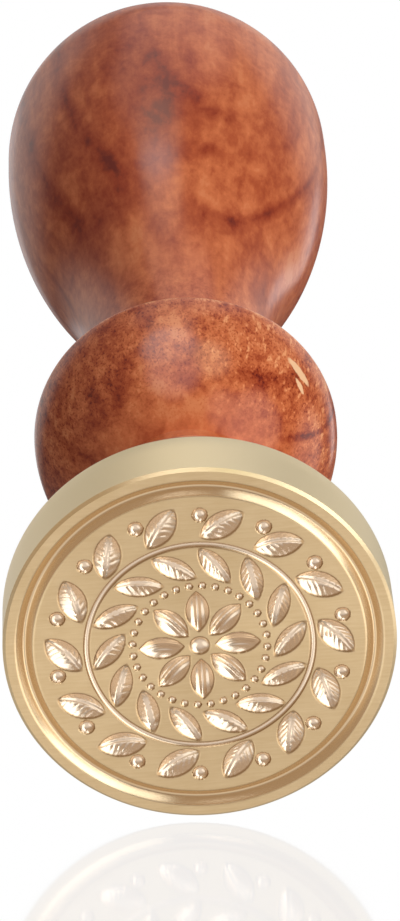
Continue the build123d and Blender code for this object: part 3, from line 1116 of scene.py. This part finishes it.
# %% Lobes of the room
LOBES = [((0.0, -0.79, 0.61), 0.3, 0.9, (0.86, 0.79, 0.75)),
         ((0.0, -1.0, 0.0), 0.0, 0.6, (0.5, 0.46, 0.42)),
         ((-0.38, 0.3, -0.87), 0.9, 0.985, (0.74, 0.72, 0.68)),
         ((0.36, 0.38, -0.85), 0.93, 0.985, (0.9, 0.88, 0.82)),
         ((0.05, 0.79, -0.61), 0.93, 0.985, (0.8, 0.81, 0.83)),
         ((0.0, 0.85, -0.5), 0.5, 0.85, (0.22, 0.21, 0.19)),
         ((0.0, 0.3, -0.95), 0.95, 0.99, (0.6, 0.6, 0.6)),
         ((0.46, 0.03, -0.888), 0.9925, 0.998, (1.5, 1.5, 1.5)),
         ((0.55, 0.08, -0.83), 0.9925, 0.998, (0.6, 0.58, 0.55)),
         ((0.0, 0.06, -0.998), 0.9945, 0.998, (1.0, 1.0, 1.0)),
         ((-0.2, 0.08, -0.97), 0.985, 0.995, (0.95, 0.95, 0.95)),
         ((0.8, -0.45, 0.4), 0.87, 0.96, (2.0, 1.9, 1.8)),
         ((-0.65, -0.68, 0.35), 0.86, 0.97, (1.3, 1.25, 1.2)),
         ((0.82, 0.27, 0.50), 0.88, 0.96, (2.8, 2.8, 2.8)),
         ((0.47, 0.535, 0.70), 0.957, 0.995, (2.2, 2.2, 2.2)),
         ((-0.6, 0.4, 0.7), 0.3, 0.75, (0.52, 0.40, 0.30)),
         ((0.92, -0.05, -0.38), 0.93, 0.99, (2.0, 1.9, 1.8)),
         ((-0.15, 0.91, -0.38), 0.95, 0.99, (1.0, 0.96, 0.86)),
         ((-0.13, 0.98, -0.13), 0.963, 0.995, (2.8, 2.35, 1.8)),
         ((0.25, 0.92, 0.29), 0.955, 0.995, (4.4, 4.8, 3.5)),
         ((-0.17, 0.96, 0.15), 0.94, 0.985, (5.6, 5.75, 5.5)),
         ((-0.15, 0.87, 0.47), 0.92, 0.985, (3.6, 3.7, 3.9))]


def picture_direction(right, up, towards):
    """A direction given as seen in the picture, in the object's frame."""
    return (picture_right * right + picture_up * up - sight * towards).normalized()


print("lobes in the room:", len(LOBES))

# %% World
ROOM_LIGHT = 0.32
ROOM_GLOSS = 0.06

world = bpy.data.worlds.new("white_room")
scene.world = world
world.use_nodes = True
sky = NodeGraph(world.node_tree)
direction = sky.add("TexCoord").outputs["Generated"]
glow = (ROOM_GLOSS, ROOM_GLOSS, ROOM_GLOSS, 1)
for axis, start, end, colour in LOBES:
    facing = sky.vector("DOT_PRODUCT", direction, picture_direction(*axis))
    glow = sky.mix(sky.rise(facing, start, end, smooth=True), glow, (*colour, 1), "LIGHTEN")

room = sky.tree.nodes["Background"]
sky.feed(room, {"Color": WHITE, "Strength": ROOM_LIGHT})
shine = sky.add("Background", {"Color": glow})
white = sky.add("Background", {"Color": WHITE})
rays = sky.add("LightPath").outputs
lit = sky.add("MixShader", {0: rays["Is Glossy Ray"], 1: room.outputs[0], 2: shine.outputs[0]})
seen = sky.math("MAXIMUM", rays["Is Camera Ray"], rays["Is Transmission Ray"])
backdrop = sky.add("MixShader", {0: seen, 1: lit.outputs[0], 2: white.outputs[0]})
sky.show(backdrop.outputs[0], "World Output")
print("world has", len(sky.tree.nodes), "nodes")

# %% [markdown]
# Three soft boxes light the wood: one overhead, a warm one on the right, and one
# behind that lights the back. They are left out of reflections, because the room's
# lobes already stand for what the gloss shows. A lamp's power is worked out from its
# brightness and size, so that a larger box looks as bright and gives more, softer light.

# %% Lamps
def softbox(name, direction, distance, size, radiance, colour=(1, 1, 1)):
    """Area lamp that faces the middle of the stamp and has this brightness."""
    lamp = bpy.data.lights.new(name, "AREA")
    lamp.shape = "RECTANGLE"
    lamp.size, lamp.size_y = size
    lamp.energy = pi * size[0] * size[1] * radiance
    lamp.color = colour
    holder = bpy.data.objects.new(name, lamp)
    away = picture_direction(*direction)
    place = Vector((0, 0, HANDLE_TOP / 2 * MM)) + away * distance
    side = (picture_right - away * picture_right.dot(away)).normalized()
    holder.matrix_world = stand_at(place, side, away.cross(side), away)
    holder.visible_camera = False
    holder.visible_glossy = False
    scene.collection.objects.link(holder)
    print(name, "at", [round(x, 2) for x in place])


softbox("overhead", (-0.2, 0.97, -0.05), distance=0.6, size=(0.26, 0.5), radiance=1.3,
        colour=(0.95, 0.97, 1.0))
softbox("key_right", (0.69, 0.30, 0.66), distance=0.65, size=(0.5, 0.5), radiance=4.4,
        colour=(1.0, 0.97, 0.92))
softbox("back_top", (0.30, -0.20, -0.93), distance=0.8, size=(0.4, 0.4), radiance=2.2)
